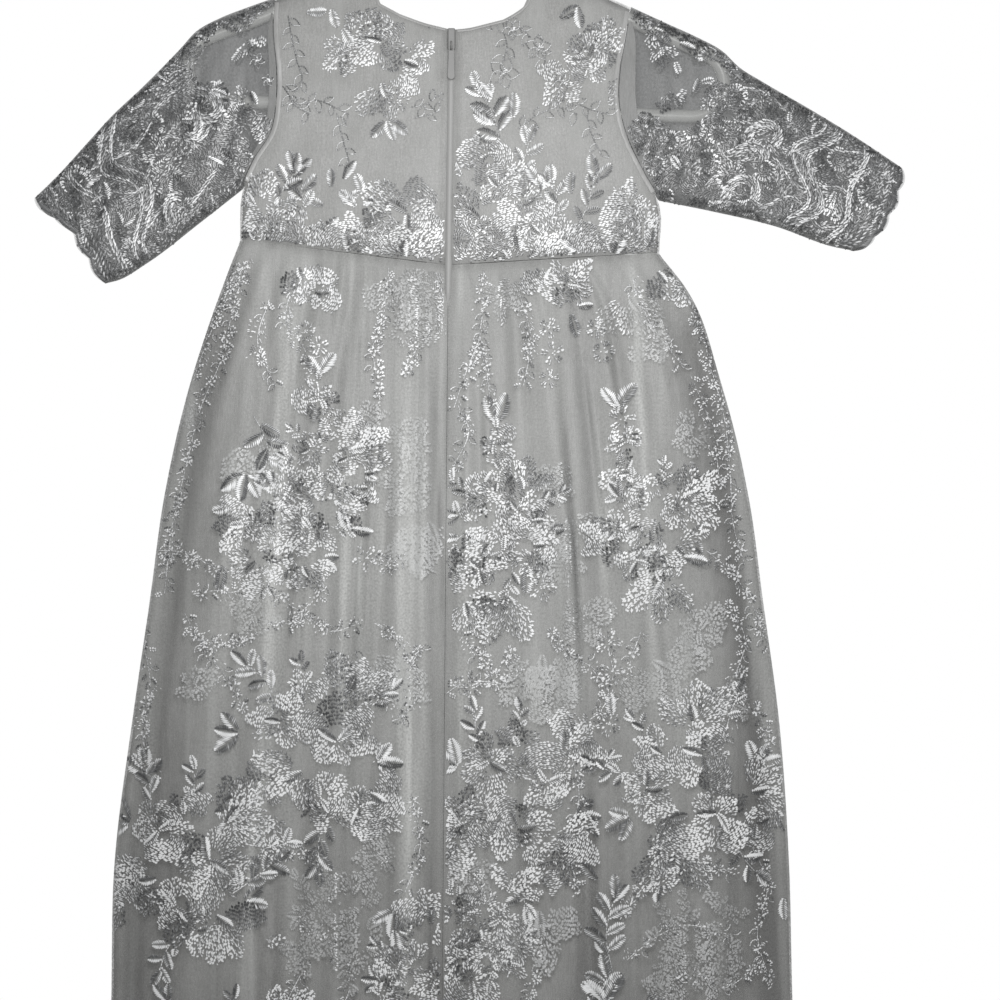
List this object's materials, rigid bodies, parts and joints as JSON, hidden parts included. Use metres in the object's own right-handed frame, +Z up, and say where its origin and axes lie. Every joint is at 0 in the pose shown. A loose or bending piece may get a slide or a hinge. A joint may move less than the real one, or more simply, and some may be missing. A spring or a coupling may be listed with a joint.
{
  "type": "christening gown on a hanger",
  "caption": "Baby's christening gown of embroidered tulle over satin, with elbow sleeves, a gathered skirt and a back zip, hanging on a small plastic hanger.",
  "frame": {"origin": "under the top of the hanger hook's arch, where a rail bears", "axes": "+Z up, +X to the right of someone who looks at the gown's back, and the back faces -Y"},
  "size_m": [0.4826, 0.0849, 0.8248],
  "materials": {
    "satin": "silver white polyester satin with a soft lustre",
    "embroidered_tulle": "fine sheer tulle embroidered in shiny silver white thread",
    "zip_tape": "woven polyester zip tape",
    "zip_metal": "white lacquered die-cast metal",
    "hanger_plastic": "smooth moulded white plastic"
  },
  "bodies": {
    "gown": {"lining_bodice_back_left": "satin", "lining_bodice_back_right": "satin", "lining_bodice_front": "satin", "lining_skirt_back_left": "satin", "lining_skirt_back_right": "satin", "lining_skirt_front": "satin", "lace_bodice_back_left": "embroidered_tulle", "lace_bodice_back_right": "embroidered_tulle", "lace_bodice_front": "embroidered_tulle", "lace_skirt_back_left": "embroidered_tulle", "lace_skirt_back_right": "embroidered_tulle", "lace_skirt_front": "embroidered_tulle", "sleeve_left": "embroidered_tulle", "sleeve_right": "embroidered_tulle", "zip_tape": "zip_tape", "zip_teeth": "zip_tape", "zip_slider": "zip_metal", "hanger_frame": "hanger_plastic", "hanger_hook": "hanger_plastic"},
    "pull_tab": {"pull_tab": "zip_metal"}
  },
  "joints": [
    {"name": "pull_tab_hinge", "type": "hinge", "parent": "gown", "child": "pull_tab", "pos_m": [-0.00372, -0.01255, -0.1184], "axis": [-1, 0, 0], "range_deg": [0, 160]}
  ]
}
